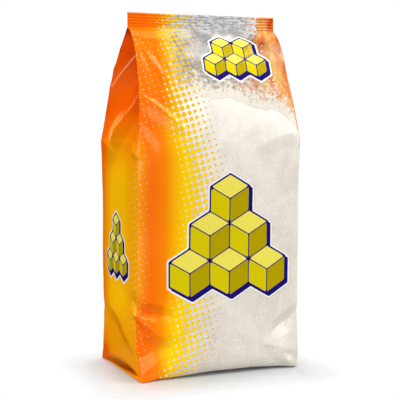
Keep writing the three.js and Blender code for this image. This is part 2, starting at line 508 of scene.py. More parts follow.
# Painted shade: the brown that the ink is darkened to in the recess where a side panel turns under.
RECESS_SHADE_INK = ink(140, 56, 3)
NAVY_INK = ink(24, 14, 112)
WHITE_INK = ink(244, 242, 240)
PALE_INK = ink(255, 206, 116)
# Painted highlight: the pale ink along the hard crease in the tuck.
CREASE_HIGHLIGHT_INK = ink(255, 222, 176)
LUMP_LIGHT_INK = ink(242, 228, 92)
LUMP_INK = ink(216, 199, 4)
LUMP_SHADE_INK = ink(180, 158, 0)

# Where the dots cover half the film: height, and distance from the panel's left fold. On the back the
# line moves nearer the fold over a stretch of height and stays there above it.
FADE_LINE = (
    (0, 18.5), (5, 22), (11, 26.3), (18.7, 29.6), (28, 29.8), (46, 30.5), (75, 35.5), (105, 36),
    (130, 34), (142, 28), (165, 24), (190, 25), (204, 26.5), (213, 31),
)
BACK_FADE_SHIFT = 24
BACK_FADE_Z = (155, 180)
# Dot radius as a share of the dots' pitch: on that line, its change per millimetre either side of
# it, the radius where dots cover everything, the least that prints, and the radius at the left fold.
DOT_AT_LINE = 0.47
DOT_GROWTH = 0.02
DOT_SHRINK = 0.0175
DOT_SOLID = 0.76
DOT_LEAST = 0.07
DOT_AT_FOLD = 0.655
# How far from the left fold that last radius reaches, how much further above the shoulder, and the
# heights where it starts and ends.
DOT_FOLD_REACH = 11
DOT_FOLD_WIDER = 1.2
DOT_FOLD_WIDER_Z = (130, 155)
DOT_FOLD_START_Z = (2, 12)
NEAR_SEAL_Z = (SEAL_FOOT_Z - 8, SEAL_FOOT_Z)
# How much smaller the dots get on a side panel towards its right fold, and where. The side's print
# wraps round its left fold by a distance that changes with the height, given at two heights.
SIDE_DOT_SHRINK = 0.12
SIDE_DOT_SHARES = (0.7, 1)
SIDE_DOT_START_Z = (10, 40)
SIDE_DOT_END_Z = (110, 150)
SIDE_WRAP = ((100, -1.8), (150, 0.9))
# Distances from a panel's left fold where the ink passes from deep orange to yellow, and their scale:
# plain, with more at mid height and on the seal and less at the foot.
INK_STOPS = (0, 9, 17, 23, 29)
INK_SCALE = 0.85
INK_SCALE_MIDDLE = 0.15
INK_SCALE_SEAL = 0.35
INK_SCALE_FOOT = 0.2
MIDDLE_START_Z = (35, 55)
MIDDLE_END_Z = (128, 150)
SEAL_START_Z = (SEAL_FOOT_Z - 4, SEAL_FOOT_Z + 2)
INK_FOOT_Z = (8, 34)
# Shares and reaches of the redder ink above the shoulder and of the painted highlight, a lighter ink, along
# the rounded left fold.
TOP_SHARE = 0.8
TOP_START_Z = (148, 164)
TOP_REACH = (10, 22)
FOLD_HIGHLIGHT_REACH = 5
# Painted shade: the share of red, green and blue by which the ink is darkened in the slack film above the
# shoulder, more of it away from the fold and less on the seal, and at the curved foot away from the fold.
INK_SHADE_CHANNELS = np.array([0.6, 0.92, 1])
SLACK_Z = (134, 162)
SLACK_END_Z = (SEAL_FOOT_Z - 4, SEAL_FOOT_Z + 1)
SLACK_END = 0.8
SLACK_SHADE = 0.16
SLACK_SHADE_AWAY = 0.22
SLACK_AWAY = (8, 20)
FOOT_INK_SHADE = 0.25
FOOT_INK_SHADE_Z = (3, 16)
FOOT_AWAY = (5, 14)
# How yellow a side panel is, from its left fold to its right one, and at its foot, how much less so
# at the rear of the foot and at the table, and where the yellow ends above, lower at the rear.
SIDE_STOPS = (0, 0.08, 0.18, 0.36, 0.54, 0.72, 0.85, 1)
SIDE_YELLOW = (0.3, 0.22, 0.5, 0.92, 1, 0.95, 0.72, 0.68)
SIDE_FOOT_YELLOW = 0.6
SIDE_FOOT_Z = (26, 46)
REAR_SHARES = (0, 0.35)
REAR_LESS = 0.5
REAR_LESS_Z = (4, 34)
TABLE_LESS = 0.2
TABLE_LESS_Z = (4, 16)
SIDE_YELLOW_END_Z = (110, 160)
REAR_DROP = 16
# Painted shade: heights over which a side panel's ink darkens into the tuck under the seal.
TUCK_SHADE_Z = (160, 195)
# Painted shade where a side panel turns under at the table: how far the ink is darkened to brown in that
# recess, where that ends as a share of the arched line's height, and the part of it at the rear.
RECESS_SHADE_SHARE = 0.85
RECESS_SHADE_END = (0.35, 1)
REAR_RECESS_SHADE = 0.3
REAR_RECESS_SHADE_Z = (4, 18)
# Painted shade on the lower face of the slanted fold: how much darker the ink is there, in red, green and
# blue, and that face as a path whose height is a share of the fold's own.
SLANT_PAINTED_SHADE = np.array([0.2, 0.35, 0.4])
SLANT_EDGE = 0.8
SLANT_PROUD = max(out for _, _, out, _, _ in SLANT)
SLANT_FACE = tuple((place, up, out / SLANT_PROUD, SLANT_EDGE, below) for place, up, out, _, below in SLANT)
# Painted highlight along the hard crease in the tuck: how far the ink is made pale there, and that crease as
# a path in the same way.
CREASE_HIGHLIGHT_SHARE = 0.5
CREASE_WIDTHS = (1.3, 1.1)
CREASE_PROUD = max(out for _, _, out, _, _ in CREASE)
CREASE_LINE = tuple((place, up, out / CREASE_PROUD, *CREASE_WIDTHS) for place, up, out, _, _ in CREASE)


def mixed(first, second, share):
    """A colour at each place, moved from the first towards the second by a share."""
    return first + share[..., None] * (second - first)


def fade_line(z, turned):
    """Distance of the half covered line from the left fold: straight lines between its stops."""
    heights, places = zip(*FADE_LINE)
    return np.interp(z, heights, places) - BACK_FADE_SHIFT * turned * ease(*BACK_FADE_Z, z)


def panel_dots(along, z, turned):
    """Radius of the dots on a front or back panel: even growth from the half covered line, held back
    near the left fold by a bell so that small gaps stay open there."""
    edge = fade_line(z, turned) - along
    dot = DOT_AT_LINE + edge * np.where(edge > 0, DOT_GROWTH, DOT_SHRINK)
    dot = np.where(dot < DOT_LEAST, 0, np.minimum(dot, DOT_SOLID))
    reach = DOT_FOLD_REACH * (1 + DOT_FOLD_WIDER * ease(*DOT_FOLD_WIDER_Z, z))
    near_fold = np.exp(-((along / reach) ** 2)) * band(DOT_FOLD_START_Z, NEAR_SEAL_Z, z)
    return np.minimum(dot, DOT_SOLID - (DOT_SOLID - DOT_AT_FOLD) * near_fold)


def panel_ink(along, z):
    """The ink on a front or back panel: stops from deep orange to yellow, tinted by height, with a painted
    highlight along the left fold and painted shade in the slack film and at the foot.
    """
    middle = band(MIDDLE_START_Z, MIDDLE_END_Z, z)
    scale = INK_SCALE + INK_SCALE_MIDDLE * middle + INK_SCALE_SEAL * ease(*SEAL_START_Z, z)
    scale = scale - INK_SCALE_FOOT * (1 - ease(*INK_FOOT_Z, z))
    inks = np.array([DEEP_INK, DEEP_INK, ORANGE_INK, GOLD_INK, YELLOW_INK])
    tint = np.stack([np.interp(along / scale, INK_STOPS, channel) for channel in inks.T], -1)
    top = TOP_SHARE * band(TOP_START_Z, NEAR_SEAL_Z, z) * (1 - ease(*TOP_REACH, along))
    tint = mixed(tint, TOP_INK, top)
    # Painted highlight: lighter ink along the rounded left fold.
    tint = mixed(tint, FOLD_HIGHLIGHT_INK, np.exp(-((along / FOLD_HIGHLIGHT_REACH) ** 2)) * middle)
    # Painted shade: the ink is darker in the slack film above the shoulder and at the curved foot.
    slack = ease(*SLACK_Z, z) * (1 - SLACK_END * ease(*SLACK_END_Z, z))
    painted_shade = slack * (SLACK_SHADE + SLACK_SHADE_AWAY * ease(*SLACK_AWAY, along))
    painted_shade = painted_shade + FOOT_INK_SHADE * (1 - ease(*FOOT_INK_SHADE_Z, z)) * ease(*FOOT_AWAY, along)
    return tint * (1 - painted_shade[..., None] * INK_SHADE_CHANNELS)


def side_ink(around, share, z, turned):
    """The ink on a side panel: yellow between orange folds and orange above, with painted shade that makes it
    brown where it turns under and darker under the slanted fold and in the tuck, and a painted highlight that
    makes it pale along the hard crease."""
    across = np.interp(share, SIDE_STOPS, SIDE_YELLOW)
    rear = 1 - ease(*REAR_SHARES, share)
    yellow = across + (1 - ease(*SIDE_FOOT_Z, z)) * (SIDE_FOOT_YELLOW - across)
    yellow = yellow - REAR_LESS * rear * (1 - ease(*REAR_LESS_Z, z))
    yellow = np.maximum(yellow - TABLE_LESS * (1 - ease(*TABLE_LESS_Z, z)), 0)
    yellow = yellow * (1 - ease(*SIDE_YELLOW_END_Z, z + REAR_DROP * rear))
    tint = mixed(SIDE_TOP_INK, SIDE_INK, yellow)
    line, bow = turn_line(share)
    # Painted shade: the ink is darkened to brown in the recess under the arched line, and at the rear corner
    # by the table.
    recess_shade = bow * over_lip(share, z) * (1 - ease(*RECESS_SHADE_END, z / line))
    recess_shade = np.maximum(recess_shade, REAR_RECESS_SHADE * rear * (1 - ease(*REAR_RECESS_SHADE_Z, z)))
    tint = mixed(tint, RECESS_SHADE_INK, RECESS_SHADE_SHARE * recess_shade)
    on_left = np.where(turned, around, around - HALF_ROUND)
    # Painted shade: the ink is darker on the lower face of the slanted fold.
    tint = tint * (1 - SLANT_PAINTED_SHADE * fold(on_left, z, SLANT_FACE)[..., None])
    # Painted shade: the ink darkens towards the top of the tuck.
    tint = mixed(tint, TUCK_SHADE_INK, ease(*TUCK_SHADE_Z, z))
    # Painted highlight: the ink is made pale along the hard crease.
    return mixed(tint, CREASE_HIGHLIGHT_INK, CREASE_HIGHLIGHT_SHARE * fold(on_left, z, CREASE_LINE))


def print_fields(around, z):
    """Radius of the dots and the ink's colour at each place, with painted shade on the seal's ribs."""
    turn, along = half_turn(around)
    turned = turn < 0
    share = np.clip((along - FILLED_WIDTH) / FILLED_DEPTH, 0, 1)
    smaller = ease(*SIDE_DOT_SHARES, share) * band(SIDE_DOT_START_Z, SIDE_DOT_END_Z, z)
    on_side = along > FILLED_WIDTH - np.interp(z, *zip(*SIDE_WRAP))
    dot = np.where(on_side, DOT_SOLID - SIDE_DOT_SHRINK * smaller, panel_dots(along, z, turned))
    tint = np.where(on_side[..., None], side_ink(around, share, z, turned), panel_ink(along, z))
    # Painted shade: the ink is darker on the seal's ribs.
    return dot, tint * (1 - RIB_SHADE * rib(z))[..., None]


# Piles of sugar lumps, drawn as simple cubes: centre of the lowest row, how far round the film the
# pile repeats, cube size, and cubes in each row. The first repeats on the back, the second is on the
# front alone, and the third is on both sides. FAR is a distance past any pile.
PILES = (
    ((57.5, 62), HALF_ROUND, 14.5, (3, 2, 1)),
    ((68, 187), FILM_ROUND, 8.5, (3, 2)),
    ((FILLED_WIDTH + 34, 66), HALF_ROUND, 7.5, (3, 2, 1)),
)
SHADE_SHIFT = (1.6, -1.6)
FAR = 1000.0


def pile_centres(middle, low, size, counts):
    """Centres of the cubes of a pile: rows of touching hexagons, each resting in the gaps below."""
    for row, count in enumerate(counts):
        for cube in range(count):
            yield middle + (cube - (count - 1) / 2) * math.sqrt(3) * size, low + 1.5 * size * row


def hexagon(x, y, size):
    """Signed distance to a hexagon that stands on a corner, as the largest of three slab distances."""
    tilts = (0, math.pi / 3, 2 * math.pi / 3)
    slabs = [np.abs(x * math.cos(tilt) + y * math.sin(tilt)) for tilt in tilts]
    return np.maximum.reduce(slabs) - size * math.sqrt(3) / 2


def lump_face(x, y, size, heading):
    """Signed distance to one of a drawn cube's three faces, a rhombus from the centre along a heading."""
    right, above = x - size / 2 * math.cos(heading), y - size / 2 * math.sin(heading)
    tilts = (heading - math.pi / 6, heading + math.pi / 6)
    slabs = [np.abs(right * math.cos(tilt) + above * math.sin(tilt)) for tilt in tilts]
    return np.maximum(*slabs) - size * math.sqrt(3) / 4


def pile_fields(around, up):
    """Signed distances to the piles' outline and shifted shadow, and to the lumps' three faces."""
    names = ("outline", "shade", "lump_top", "lump_left", "lump_right")
    fields = {name: np.full_like(up, FAR) for name in names}
    for (middle, low), repeat, size, counts in PILES:
        for x, y in pile_centres(middle, low, size, counts):
            right, above = np.mod(around, repeat) - x, up - y
            distances = (
                hexagon(right, above, size),
                hexagon(right - SHADE_SHIFT[0], above - SHADE_SHIFT[1], size),
                lump_face(right, above, size, math.pi / 2),
                lump_face(right, above, size, 7 * math.pi / 6),
                lump_face(right, above, size, -math.pi / 6),
            )
            for name, distance in zip(names, distances):
                fields[name] = np.minimum(fields[name], distance)
    return fields


# The sugar: its level against the film slopes across a panel and falls at the folds, and its edge is
# ragged. Each row of RAGGED_EDGE is a number of random steps round the bag and their height. It keeps
# a small gap to the film, has a flat underside and rises inwards to a low rough heap.
SUGAR_LEVEL = 163
LEVEL_TILT = 7
LEVEL_DROP = 17
LEVEL_REACH = 6
SIDE_LEVEL = 150
LEVEL_SEED = 33
RAGGED_EDGE = ((45, 1.4), (130, 0.5))
SUGAR_GAP = 0.12
SUGAR_FLOOR = 0.7
SUGAR_BASE_RINGS = (0.35, 0.7)
LEVEL_ROWS = 24
LEVEL_ROWS_Z = SUGAR_LEVEL - LEVEL_DROP - 5
HEAP_Z = 168
HEAP_ROUNDNESS = 1.6
HEAP_ROWS = 40
HEAP_ROUGHNESS = 0.12
HEAP_SEED = 9

# Share of the light on the ink that passes through it, with sugar behind it and on the slack sides.
INK_GLOW = 0.04
SLACK_GLOW = 0.5
# Heights over the sugar where the empty space opens, the distance from a panel's left fold where its
# haze ends, and how much less of it lies on the seal.
SPACE_START = (0, 12)
HAZE_END = (76, 92)
SEAL_HAZE_LESS = 0.3
SEALED_Z = (SEAL_FOOT_Z - 2, SEAL_FOOT_Z + 1)
# Dot radius from which the gaps between dots get painted warm light, how much less so over the empty space,
# and the distance from the left fold where that lessening starts.
HOLE_DOTS = (0.42, 0.58)
HOLE_LESS = 0.8
HOLE_LESS_START = (10, 18)


def sugar_level(around):
    """Height of the sugar against the film: a slope across a panel, lower by an exponential at its
    folds, plus straight lines between random steps round the bag for its ragged edge."""
    along = np.mod(around, HALF_ROUND)
    side = along >= FILLED_WIDTH
    span = np.where(side, FILLED_DEPTH, FILLED_WIDTH)
    inside = np.where(side, along - FILLED_WIDTH, along)
    nearest = np.minimum(inside, span - inside)
    corner = SUGAR_LEVEL - LEVEL_DROP
    full = np.where(side, SIDE_LEVEL, SUGAR_LEVEL + LEVEL_TILT * (1 - 2 * inside / span))
    level = full - (full - corner) * np.exp(-nearest / LEVEL_REACH)
    generator = np.random.default_rng(LEVEL_SEED)
    for count, height in RAGGED_EDGE:
        stops = np.arange(count) * FILM_ROUND / count
        level = level + np.interp(around, stops, generator.normal(0, height, count), period=FILM_ROUND)
    return level


def film_fields(around, z, up):
    """What the film's material reads at each place: the dots, the haze and glow, where the dots' gaps get
    painted light, the seal, the piles, and the ink's colour."""
    dot, tint = print_fields(around, z)
    along = np.mod(around, HALF_ROUND)
    side = along >= FILLED_WIDTH
    above = z - sugar_level(around)
    space = ease(*SPACE_START, above)
    sealed = ease(*SEALED_Z, z)
    glow = INK_GLOW + (SLACK_GLOW - INK_GLOW) * space * side
    fields = {
        "dot": dot,
        "haze": space * (1 - ease(*HAZE_END, along)) * (1 - SEAL_HAZE_LESS * sealed),
        "above": above,
        "hole": ease(*HOLE_DOTS, dot) * (1 - HOLE_LESS * space * ease(*HOLE_LESS_START, along)),
        "glow": glow * (1 - side * ease(*NEAR_SEAL_Z, z)),
        "sealed": sealed,
        "rib": rib(z),
    }
    fields.update(pile_fields(around, up))
    fields["tint"] = tint
    return fields


def seal_edge(rows, count):
    """Faces that close the seal's cut edge between the front and back columns of the last row."""
    last = (rows - 1) * count
    ring = np.arange(count // 2 + 1)
    front = (ring - SIDE_COLUMNS // 2) % count
    back = (front[0] - ring) % count
    quads = np.stack([front[:-1], front[1:], back[1:], back[:-1]], -1)[1:-1]
    ends = np.array([[front[0], front[1], back[1]], [front[-2], front[-1], back[-2]]])
    return quads + last, ends + last


def film_map(places, up, apart, others):
    """UV map of the film: the share of the way round, and of the way up from the middle of the base."""
    count = len(places) - 1
    grid = (len(up), count + 1)
    share_up = (up - up[0]) / (up[-1] - up[0])
    grid_u = np.broadcast_to(places / FILM_ROUND, grid).ravel()
    grid_v = np.broadcast_to(share_up[:, None], grid).ravel()
    wall = np.stack([grid_u[apart], grid_v[apart]], -1).reshape(-1, 2)
    rest = np.stack([places[others % count] / FILM_ROUND, share_up[others // count]], -1)
    return np.concatenate([wall, rest])


def make_film():
    """The printed film: a closed skin of rows round the bag from the middle of its slightly hollow base,
    which sinks to the table as a power of the distance, to the seal's edge."""
    places, heights = columns(), body_rows()
    around, z = np.meshgrid(places[:-1], heights)
    body = crimp(film_points(around, z), z)
    shares = np.linspace(0, 1, BASE_ROWS, endpoint=False)[1:]
    base = body[:1] * shares[:, None, None]
    base[..., 2] = BASE_HOLLOW + (body[0, :, 2] - BASE_HOLLOW) * shares[:, None] ** BASE_FLATNESS
    points = np.concatenate([base, body])
    rows, count = points.shape[:2]
    pole = rows * count
    closed, apart = grid_faces(rows, count)
    top, ends = seal_edge(rows, count)
    cap = fan(pole, 0, count, False)
    flat = np.concatenate([points.reshape(-1, 3), [[0, 0, BASE_HOLLOW]]])
    piece = new_mesh("film", flat, [closed, top, cap, ends])

    up = np.concatenate([-(1 - shares) * BASE_DEPTH / 2, length_up(heights)])
    around, z = np.meshgrid(places[:-1], np.concatenate([0 * shares, heights]))
    fields = film_fields(around, z, np.broadcast_to(up[:, None], z.shape))
    for name, values in fields.items():
        values = values.reshape(pole, *values.shape[2:])
        add_values(piece, name, np.concatenate([values, values[:1]]))
    others = np.concatenate([top.ravel(), cap.ravel(), ends.ravel()])
    others = np.where(others == pole, 0, others)
    layer = piece.data.uv_layers.new(name="film")
    layer.data.foreach_set("uv", film_map(places, up, apart, others).astype(np.float32).ravel())
    return piece, up[-1] - up[0], up[0]


def inside_film(around, z, gap):
    """The film's points moved in along its level normals by a gap."""
    return film_points(around, z) - gap * averaged(panel_normal, around, NORMAL_REACH)


def heap_points(edge, inward):
    """Points on the heap: from the sugar's edge to its middle, rising as 1 - (1 - t)^roundness."""
    points = edge * (1 - inward[..., None])
    points[..., 2] = edge[..., 2] + (HEAP_Z - edge[..., 2]) * (1 - (1 - inward) ** HEAP_ROUNDNESS)
    return points


def make_sugar():
    """The sugar: the film's own shape drawn in by a small gap up to its level, then a low rough heap."""
    places, heights = columns()[:-1], body_rows()
    heights = heights[(heights > SUGAR_FLOOR) & (heights < LEVEL_ROWS_Z)]
    shares = np.linspace(0, 1, LEVEL_ROWS)[:, None]
    upper = LEVEL_ROWS_Z + shares * (sugar_level(places) - LEVEL_ROWS_Z)
    z = np.concatenate([np.repeat(heights[:, None], len(places), 1), upper])
    around = np.broadcast_to(places, z.shape)
    wall = inside_film(around, z, SUGAR_GAP)
    heap = heap_points(wall[-1], np.linspace(0, 1, HEAP_ROWS)[1:-1, None])
    generator = np.random.default_rng(HEAP_SEED)
    heap[..., 2] += generator.normal(0, HEAP_ROUGHNESS, heap.shape[:2])
    base = wall[:1] * np.array(SUGAR_BASE_RINGS)[:, None, None]
    base[..., 2] = SUGAR_FLOOR
    points = np.concatenate([base, wall, heap])
    rows, count = points.shape[:2]
    closed, _ = grid_faces(rows, count)
    bottom = fan(rows * count, 0, count, False)
    crown = fan(rows * count + 1, (rows - 1) * count, count, True)
    flat = np.concatenate([points.reshape(-1, 3), [[0, 0, SUGAR_FLOOR], [0, 0, HEAP_Z]]])
    return new_mesh("sugar", flat, [closed, bottom, crown])


# Loose grains: how many lie on the heap and how many cling inside the film over it, their length, how
# far they keep from the folds, how high they lie on the heap, and their reach and gap on the film.
HEAP_GRAINS = 2600
FILM_GRAINS = 2600
GRAIN_LENGTHS = (0.45, 0.85)
GRAIN_MARGIN = 9
GRAIN_LIFT = 0.25
CLING_REACH = 8
CLING_GAP = 0.8
CLING_TOP_Z = SEAL_FOOT_Z - 8
GRAIN_SEED = 21


def grain_places(generator):
    """Random places for grains: on the heap, and inside the film, fewer by an exponential of the height."""
    panel = generator.integers(0, 2, HEAP_GRAINS + FILM_GRAINS) * HALF_ROUND
    around = panel + generator.uniform(GRAIN_MARGIN, FILLED_WIDTH - GRAIN_MARGIN, len(panel))
    level = sugar_level(around)
    heap = heap_points(film_points(around, level), np.sqrt(generator.uniform(0, 1, len(around))))
    heap[:, 2] += GRAIN_LIFT
    height = np.minimum(level + generator.exponential(CLING_REACH, len(around)), CLING_TOP_Z)
    clinging = inside_film(around, height, CLING_GAP)
    return np.concatenate([heap[:HEAP_GRAINS], clinging[HEAP_GRAINS:]])


def make_grains():
    """Loose grains: small boxes of three random edge lengths, each turned at random."""
    generator = np.random.default_rng(GRAIN_SEED)
    centres = grain_places(generator)
    count = len(centres)
    corners = np.array([(x, y, z) for z in (-0.5, 0.5) for y in (-0.5, 0.5) for x in (-0.5, 0.5)])
    sizes = generator.uniform(*GRAIN_LENGTHS, (count, 1, 3))
    turns, _ = np.linalg.qr(generator.normal(size=(count, 3, 3)))
    turns *= np.linalg.det(turns)[:, None, None]
    points = centres[:, None] + (corners * sizes) @ turns
    box = np.array([(0, 2, 3, 1), (4, 5, 7, 6), (0, 1, 5, 4), (2, 6, 7, 3), (0, 4, 6, 2), (1, 3, 7, 5)])
    faces = (np.arange(count)[:, None, None] * len(corners) + box).reshape(-1, 4)
    piece = new_mesh("sugar_grains", points.reshape(-1, 3), [faces])
    piece.data.polygons.foreach_set("use_smooth", np.zeros(len(faces), bool))
    return piece


# Node helpers for the materials.
def add_node(tree, kind, **inputs):
    """A new node with its named inputs set to values or linked to sockets."""
    made = tree.nodes.new(kind)
    for name, value in inputs.items():
        connect(tree, made.inputs[name.replace("_", " ")], value)
    return made


def connect(tree, socket, value):
    """Links a socket to an input, or sets the input's value."""
    if isinstance(value, bpy.types.NodeSocket):
        tree.links.new(value, socket)
    else:
        socket.default_value = value


def math_node(tree, operation, *values):
    """A math node on sockets and numbers, giving its output socket."""
    made = tree.nodes.new("ShaderNodeMath")
    made.operation = operation
    for socket, value in zip(made.inputs, values):
        connect(tree, socket, value)
    return made.outputs[0]


def times(tree, first, second):
    """The product of two sockets or numbers."""
    return math_node(tree, "MULTIPLY", first, second)


def scaled(tree, value, factor, start):
    """A value times a factor, plus a start."""
    return math_node(tree, "MULTIPLY_ADD", value, factor, start)


def step_node(tree, value, start, end):
    """A smooth step from 1 at the start to 0 at the end, also where the end is the lower number."""
    made = tree.nodes.new("ShaderNodeMapRange")
    made.interpolation_type = "SMOOTHSTEP"
    connect(tree, made.inputs["Value"], value)
    for name, number in (("From Min", start), ("From Max", end), ("To Min", 1), ("To Max", 0)):
        made.inputs[name].default_value = number
    return made.outputs["Result"]


def step_below(tree, value, limit, softness):
    """1 where the value is below the limit, 0 above it, with a soft edge."""
    return step_node(tree, value, limit - softness, limit + softness)


def step_above(tree, value, limit, softness):
    """1 where the value is above the limit, 0 below it, with a soft edge."""
    return step_node(tree, value, limit + softness, limit - softness)


def mix_colour(tree, share, first, second):
    """A colour mix of two colours or sockets."""
    made = tree.nodes.new("ShaderNodeMix")
    made.data_type = "RGBA"
    connect(tree, made.inputs[0], share)
    for socket, value in ((made.inputs[6], first), (made.inputs[7], second)):
        connect(tree, socket, value if isinstance(value, bpy.types.NodeSocket) else (*value, 1))
    return made.outputs[2]


def mix_shader(tree, share, first, second):
    """A mix of two shaders, giving its output socket."""
    made = tree.nodes.new("ShaderNodeMixShader")
    for socket, value in zip(made.inputs, (share, first, second)):
        connect(tree, socket, value)
    return made.outputs[0]


def stored(tree, name, output="Fac"):
    """A value or a colour stored on the piece's points."""
    made = tree.nodes.new("ShaderNodeAttribute")
    made.attribute_name = name
    return made.outputs[output]


def object_place(tree):
    """The place on the piece in its own coordinates, in metres."""
    return tree.nodes.new("ShaderNodeTexCoord").outputs["Object"]


def noise(tree, place, scale, detail, stretch=None):
    """Smooth noise at a scale, with the place stretched first where a stretch is given."""
    if stretch:
        place = add_node(tree, "ShaderNodeMapping", Vector=place, Scale=stretch).outputs[0]
    return add_node(tree, "ShaderNodeTexNoise", Vector=place, Scale=scale, Detail=detail).outputs["Fac"]


def new_material(name):
    """An empty node material, with its tree and output."""
    material = bpy.data.materials.new(name)
    material.use_nodes = True
    tree = material.node_tree
    tree.nodes.clear()
    return material, tree, tree.nodes.new("ShaderNodeOutputMaterial")


# The print's fine lines: pitch and angle of the dots, width of the piles' outline and pale halo, and
# how soft the edges are.
DOT_PITCH = 3.75
DOT_ANGLE = math.radians(15)
DOT_SOFTNESS = 0.02
OUTLINE = 0.7
HALO = 1.7
LINE_SOFTNESS = 0.15
LUMP_INKS = (("lump_top", LUMP_LIGHT_INK), ("lump_left", LUMP_INK), ("lump_right", LUMP_SHADE_INK))


def dot_cover(tree, scale, start):
    """1 where ink lies: round dots of the stored radius on a turned square grid, which merge as they grow."""
    uv = tree.nodes.new("ShaderNodeUVMap")
    uv.uv_map = "film"
    parts = add_node(tree, "ShaderNodeSeparateXYZ", Vector=uv.outputs[0])
    across = times(tree, parts.outputs[0], FILM_ROUND / DOT_PITCH)
    up = scaled(tree, parts.outputs[1], scale / DOT_PITCH, start / DOT_PITCH)
    squares = []
    for angle in (DOT_ANGLE, DOT_ANGLE + math.pi / 2):
        first = times(tree, across, math.cos(angle))
        both = scaled(tree, up, math.sin(angle), first)
        nearest = math_node(tree, "PINGPONG", both, 0.5)
        squares.append(times(tree, nearest, nearest))
    distance = math_node(tree, "SQRT", math_node(tree, "ADD", *squares))
    past = math_node(tree, "SUBTRACT", distance, stored(tree, "dot"))
    return step_below(tree, past, -DOT_SOFTNESS, DOT_SOFTNESS)


def film_print(tree, scale, start):
    """The ink's colour, where ink lies, and the piles with their halo: dots, outlines and lump faces."""
    dots = dot_cover(tree, scale, start)
    drawn = [stored(tree, name) for name in ("outline", "shade")]
    halo = math_node(tree, "MAXIMUM", *(step_below(tree, field, HALO, LINE_SOFTNESS) for field in drawn))
    dark = math_node(tree, "MAXIMUM", *(step_below(tree, field, OUTLINE, LINE_SOFTNESS) for field in drawn))
    colour = mix_colour(tree, halo, stored(tree, "tint", "Color"), WHITE_INK)
    colour = mix_colour(tree, dark, colour, NAVY_INK)
    for name, face_ink in LUMP_INKS:
        face = step_below(tree, stored(tree, name), -OUTLINE / 2, LINE_SOFTNESS)
        colour = mix_colour(tree, face, colour, face_ink)
    return colour, math_node(tree, "MAXIMUM", dots, halo), halo


# The ink's inner face is paler, as a light underprint, and its mottle paints the crinkles' highlights: paler
# by the mottle times a contrast, plus a change, and another on the seal.
INNER_CONTRAST = 3.4
INNER_CHANGE = -1.15
INNER_SEAL_CHANGE = -0.4
INK_ROUGHNESS = 0.5


def ink_layer(tree, colour, halo, mottle, inside, sealed):
    """The ink: dull and lit from outside, pale on its inner face with mottled painted highlights of the
    crinkles, and glowing a little.
    """
    # Painted highlights: the mottle makes the pale inner face lighter and darker in patches like lit
    # crinkles.
    pale_and_glints = scaled(tree, mottle, INNER_CONTRAST, INNER_CHANGE)
    pale = times(tree, inside, scaled(tree, sealed, INNER_SEAL_CHANGE, pale_and_glints))
    colour = mix_colour(tree, pale, colour, PALE_INK)
    colour = mix_colour(tree, times(tree, inside, halo), colour, WHITE_INK)
    solid = add_node(
        tree, "ShaderNodeBsdfPrincipled", Base_Color=colour, Roughness=INK_ROUGHNESS, Specular_IOR_Level=0,
    )
    glow = add_node(tree, "ShaderNodeBsdfTranslucent", Color=colour)
    return mix_shader(tree, stored(tree, "glow"), solid.outputs[0], glow.outputs[0])


# Noise is given as a scale per metre and a detail: here the film's mottle, longer up the bag, and the
# finer one of the seal, longer along it.
MOTTLE_NOISE = (130, 3)
MOTTLE_STRETCH = (1, 1, 0.45)
FINE_NOISE = (900, 4)
FINE_STRETCH = (0.4, 1, 1)

# Dust that clings to the film over the sugar: its colour, noise and reach, its cover next to the sugar,
# the cover that shows and its softness, where its top and bottom end, and its share on the inner ink.
DUST_COLOUR = (0.71, 0.66, 0.575, 1)
DUST_NOISE = (420, 5)
DUST_REACH = 10
DUST_COVER = 0.6
DUST_LIMIT = 0.74
DUST_SOFTNESS = 0.2
DUST_TOP = 0.15
DUST_BOTTOM_SOFTNESS = 0.03
DUST_ON_INK = 0.3


def dust_cover(tree, place):
    """1 where dust clings: noise plus an exponential of the height over the sugar, cut off softly."""
    above = stored(tree, "above")
    near = math_node(tree, "EXPONENT", times(tree, above, -1 / DUST_REACH))
    cover = scaled(tree, near, DUST_COVER, noise(tree, place, *DUST_NOISE))
    covered = step_above(tree, cover, DUST_LIMIT, DUST_SOFTNESS)
    dusty = times(tree, covered, step_above(tree, near, DUST_TOP, DUST_TOP))
    return times(tree, dusty, step_above(tree, above, 0.0, DUST_BOTTOM_SOFTNESS))


# The clear film over the empty space: limit and softness of its grey blotches of painted shade, how much
# painted shade the ribs add, the grey that a full blotch is seen through, the pale haze, and the painted warm
# light in the dots' gaps.
BLOTCH_LIMIT = 0.52
BLOTCH_SOFTNESS = 0.16
RIB_SEEN_SHADE = 0.25
BLOTCH_SHADE_COLOUR = (0.46, 0.46, 0.46)
HAZE_COLOUR = (0.75, 0.75, 0.75, 1)
HAZE_SHARE = 0.13
GAP_LIGHT_COLOUR = (0.95, 0.82, 0.5, 1)
GAP_LIGHT_SHARE = 0.9


